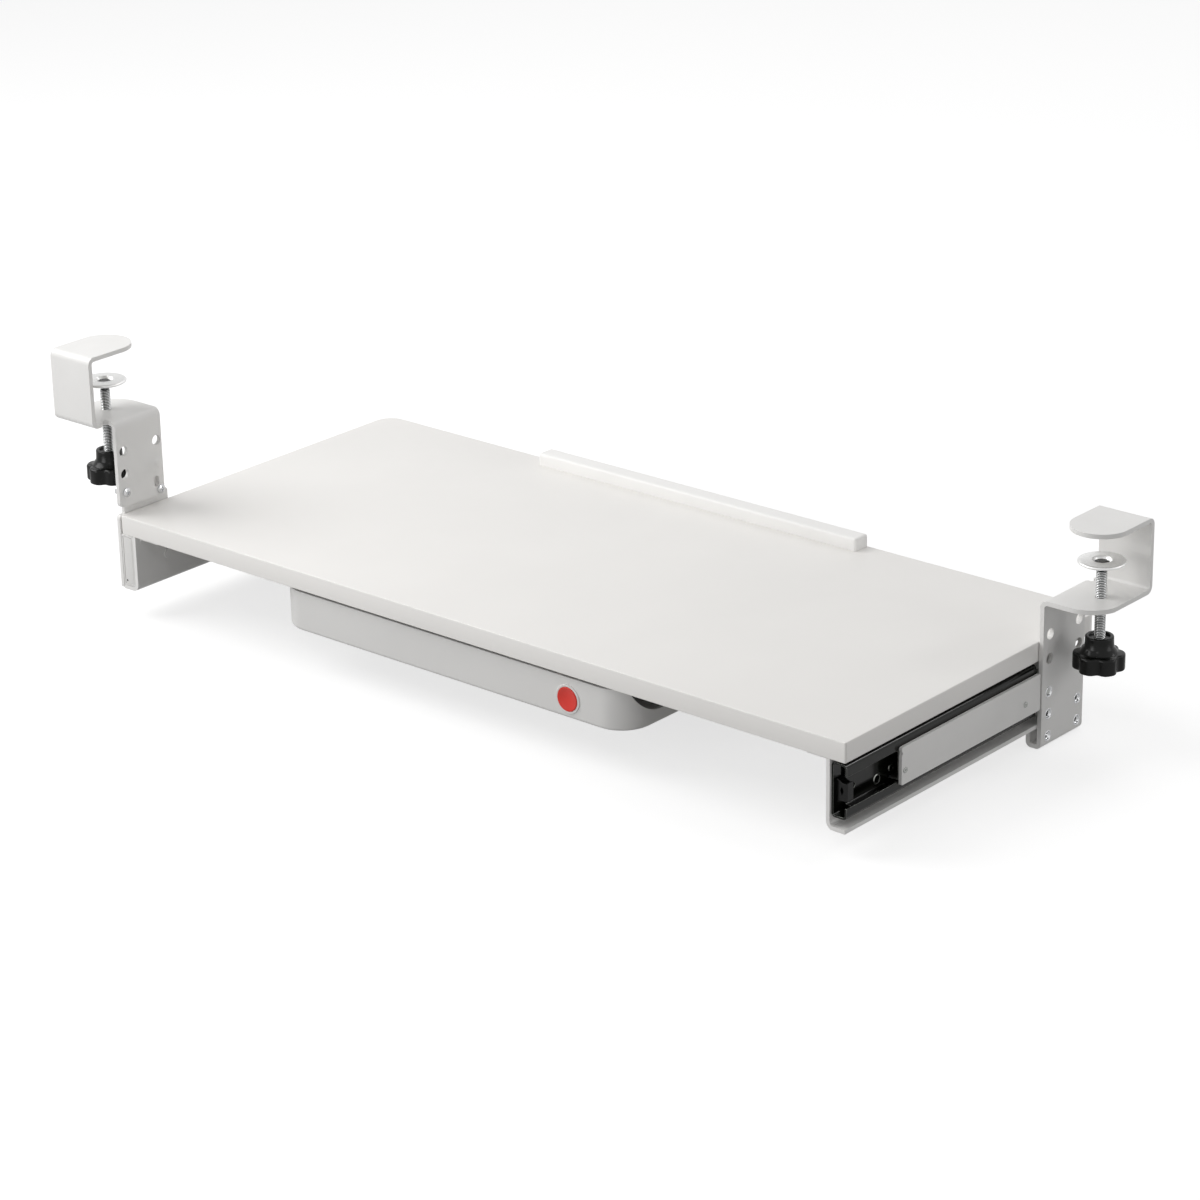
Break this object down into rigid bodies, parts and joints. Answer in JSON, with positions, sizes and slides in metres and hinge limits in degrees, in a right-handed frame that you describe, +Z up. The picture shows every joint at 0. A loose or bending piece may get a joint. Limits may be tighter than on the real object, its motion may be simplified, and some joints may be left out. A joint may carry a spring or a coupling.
{
  "type": "under-desk keyboard tray with storage drawer",
  "caption": "Clamp-on pull-out keyboard tray: a white board on ball-bearing slides, screw clamps for the desk edge and a push-lock storage drawer below.",
  "frame": {"origin": "centre of the part's box at its lowest face, under the right clamp's foot", "axes": "+X along the board's width to its right end, +Y from the board's front edge to its back edge, +Z up"},
  "size_m": [0.7968, 0.317, 0.2112],
  "materials": {
    "white_laminate": "white melamine laminate, satin, fine even grain",
    "white_trim": "white satin plastic",
    "white_steel": "white powder coat, satin",
    "drawer_plastic": "pale grey-white moulded plastic, satin",
    "black_steel": "black electrocoated steel, semi-gloss",
    "zinc_steel": "zinc-plated sheet steel",
    "bright_steel": "bright plated steel",
    "black_plastic": "black moulded plastic, slight sheen",
    "red_plastic": "red moulded plastic"
  },
  "bodies": {
    "desk_side": {"left_clamp_bracket": "white_steel", "right_clamp_bracket": "white_steel", "left_side_plate": "white_steel", "side_plate_screws": "bright_steel", "side_plate_nuts": "bright_steel", "left_inner_member": "zinc_steel", "right_inner_member": "zinc_steel", "left_cover_bar": "white_steel", "right_cover_bar": "white_steel", "cover_bar_rivets": "bright_steel", "inner_member_screws": "zinc_steel", "clinch_nuts": "bright_steel"},
    "tray": {"tray_board": "white_laminate", "stop_strip": "white_trim", "left_rail_bracket": "white_steel", "right_rail_bracket": "white_steel", "rail_bracket_screws": "zinc_steel", "rail_end_cap": "drawer_plastic", "left_outer_member": "black_steel", "right_outer_member": "black_steel", "outer_member_rivets": "zinc_steel", "left_slide_bumper": "black_plastic", "right_slide_bumper": "black_plastic", "left_drawer_runner": "zinc_steel", "right_drawer_runner": "zinc_steel", "runner_screws": "zinc_steel", "lock_striker": "zinc_steel", "striker_screws": "bright_steel"},
    "slide_middles": {"left_middle_member": "black_steel", "right_middle_member": "black_steel"},
    "outer_cages": {"outer_ball_cages": "zinc_steel", "outer_balls": "bright_steel"},
    "inner_cages": {"inner_ball_cages": "zinc_steel", "inner_balls": "bright_steel"},
    "drawer": {"storage_drawer": "drawer_plastic", "button_bezel": "drawer_plastic", "bezel_nut": "bright_steel", "lock_housing": "black_plastic", "lock_spring": "bright_steel"},
    "button": {"lock_button": "red_plastic"},
    "pin": {"lock_pin": "bright_steel"},
    "left_pad": {"left_clamp_pad": "bright_steel"},
    "right_pad": {"right_clamp_pad": "bright_steel"},
    "left_screw": {"left_clamp_screw": "bright_steel", "left_knob": "black_plastic"},
    "right_screw": {"right_clamp_screw": "bright_steel", "right_knob": "black_plastic"}
  },
  "joints": [
    {"name": "tray_slide", "type": "slide", "parent": "desk_side", "child": "tray", "axis": [0, -1, 0], "range_m": [0, 0.2]},
    {"name": "middle_slide", "type": "slide", "parent": "desk_side", "child": "slide_middles", "axis": [0, -1, 0], "range_m": [0, 0.1]},
    {"name": "outer_cage_slide", "type": "slide", "parent": "desk_side", "child": "outer_cages", "axis": [0, -1, 0], "range_m": [0, 0.15]},
    {"name": "inner_cage_slide", "type": "slide", "parent": "desk_side", "child": "inner_cages", "axis": [0, -1, 0], "range_m": [0, 0.05]},
    {"name": "drawer_slide", "type": "slide", "parent": "tray", "child": "drawer", "axis": [0, -1, 0], "range_m": [0, 0.15]},
    {"name": "button_press", "type": "slide", "parent": "drawer", "child": "button", "axis": [0, 1, 0], "range_m": [0, 0.003], "stiffness_N_per_m": 400, "springref_m": -0.0015},
    {"name": "pin_lift", "type": "slide", "parent": "drawer", "child": "pin", "axis": [0, 0, 1], "range_m": [0, 0.003], "deforming": ["lock_spring"]},
    {"name": "left_pad_slide", "type": "slide", "parent": "desk_side", "child": "left_pad", "axis": [0, 0, 1], "range_m": [-0.016, 0.025]},
    {"name": "left_screw_turn", "type": "hinge", "parent": "left_pad", "child": "left_screw", "pos_m": [-0.37915, -0.1231, 0.0818], "axis": [0, 0, 1], "range_deg": [-4668, 7260]},
    {"name": "right_pad_slide", "type": "slide", "parent": "desk_side", "child": "right_pad", "axis": [0, 0, 1], "range_m": [-0.02, 0.021]},
    {"name": "right_screw_turn", "type": "hinge", "parent": "right_pad", "child": "right_screw", "pos_m": [0.37915, 0.1121, 0.0818], "axis": [0, 0, 1], "range_deg": [-5820, 6108]}
  ],
  "couplings": [
    {"joint": "middle_slide", "follows": "tray_slide", "ratio": 0.5},
    {"joint": "outer_cage_slide", "follows": "tray_slide", "ratio": 0.75},
    {"joint": "inner_cage_slide", "follows": "tray_slide", "ratio": 0.25},
    {"joint": "pin_lift", "follows": "button_press", "ratio": 1},
    {"joint": "left_screw_turn", "follows": "left_pad_slide", "rad_per_m": 5026.5},
    {"joint": "right_screw_turn", "follows": "right_pad_slide", "rad_per_m": 5026.5}
  ]
}
